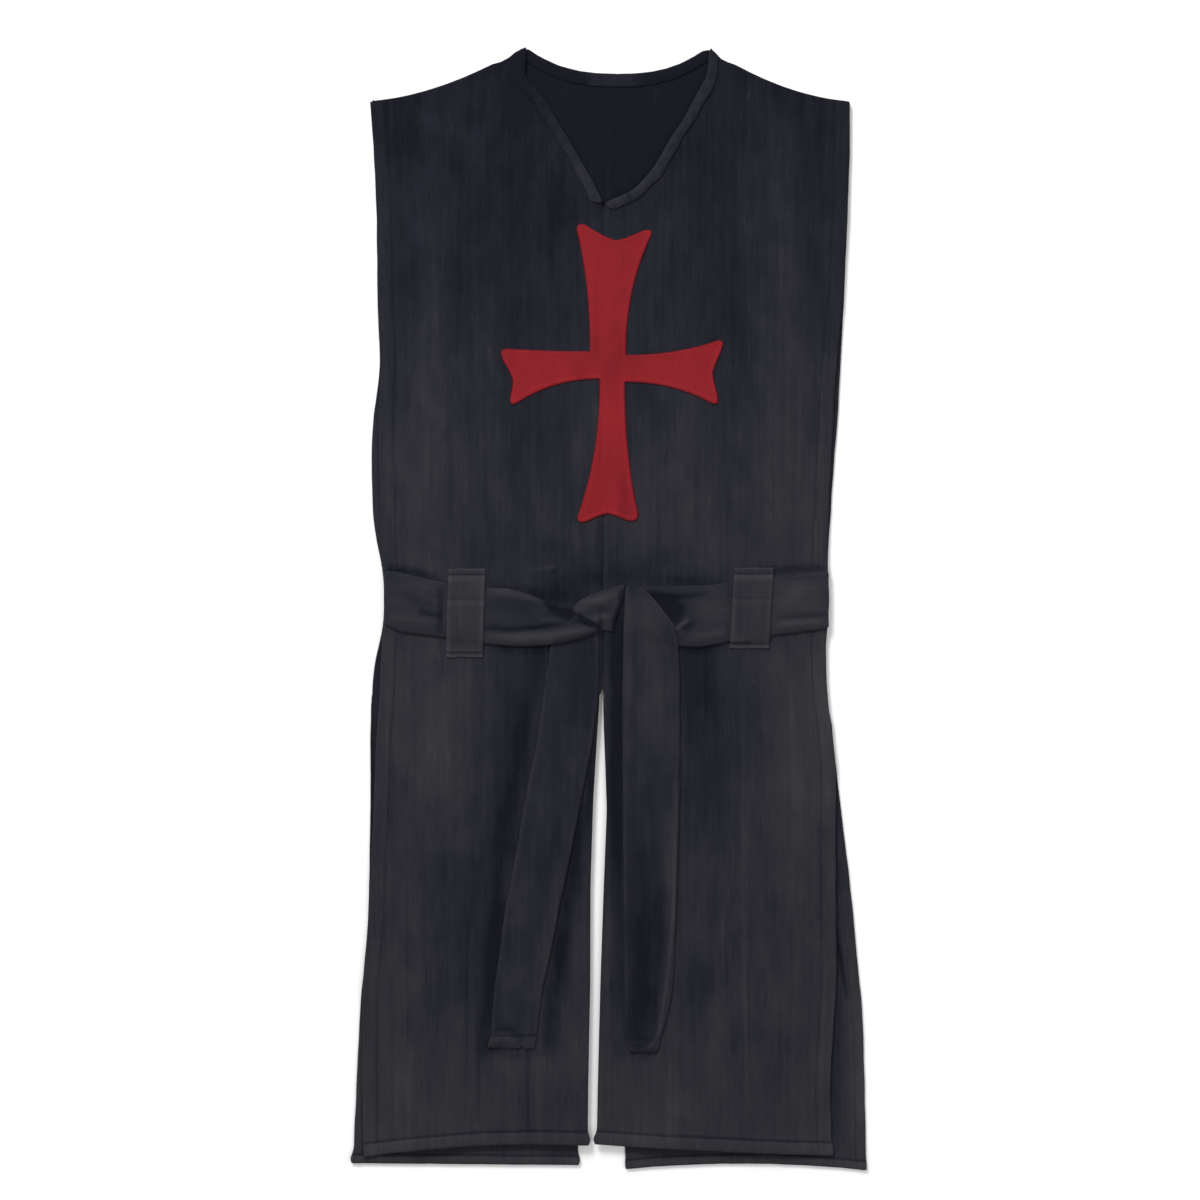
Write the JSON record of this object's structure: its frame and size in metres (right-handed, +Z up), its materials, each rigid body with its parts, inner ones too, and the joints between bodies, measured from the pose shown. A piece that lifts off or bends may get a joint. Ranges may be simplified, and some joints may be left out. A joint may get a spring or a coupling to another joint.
{
  "type": "medieval surcoat",
  "caption": "Sleeveless medieval surcoat in black cloth with a red cross on the chest and a tied cloth belt, laid flat on its back.",
  "frame": {"origin": "centre of the part's box on the surface it lies on", "axes": "+Y toward the neck along the garment's length, +X to the viewer's right when the front is seen with the neck up, +Z up out of the surface"},
  "size_m": [0.5124, 1.12, 0.0208],
  "materials": {
    "surcoat_black": "matte black slubby woven cotton with faint lengthwise streaks",
    "band_black": "matte black rolled neck binding of the same cotton",
    "belt_black": "matte black folded cotton strip",
    "cross_red": "matte red woven cotton, sewn on with a close edge stitch"
  },
  "bodies": {
    "root": {"front_left": "surcoat_black", "front_right": "surcoat_black", "back_left": "surcoat_black", "back_right": "surcoat_black", "loop_left": "surcoat_black", "loop_right": "surcoat_black", "neck_band_left": "band_black", "neck_band_right": "band_black", "neck_band_back": "band_black", "belt_back": "belt_black", "belt_left": "belt_black", "belt_right": "belt_black", "knot_wrap": "belt_black", "tail_left": "belt_black", "tail_right": "belt_black", "cross": "cross_red"}
  },
  "joints": []
}
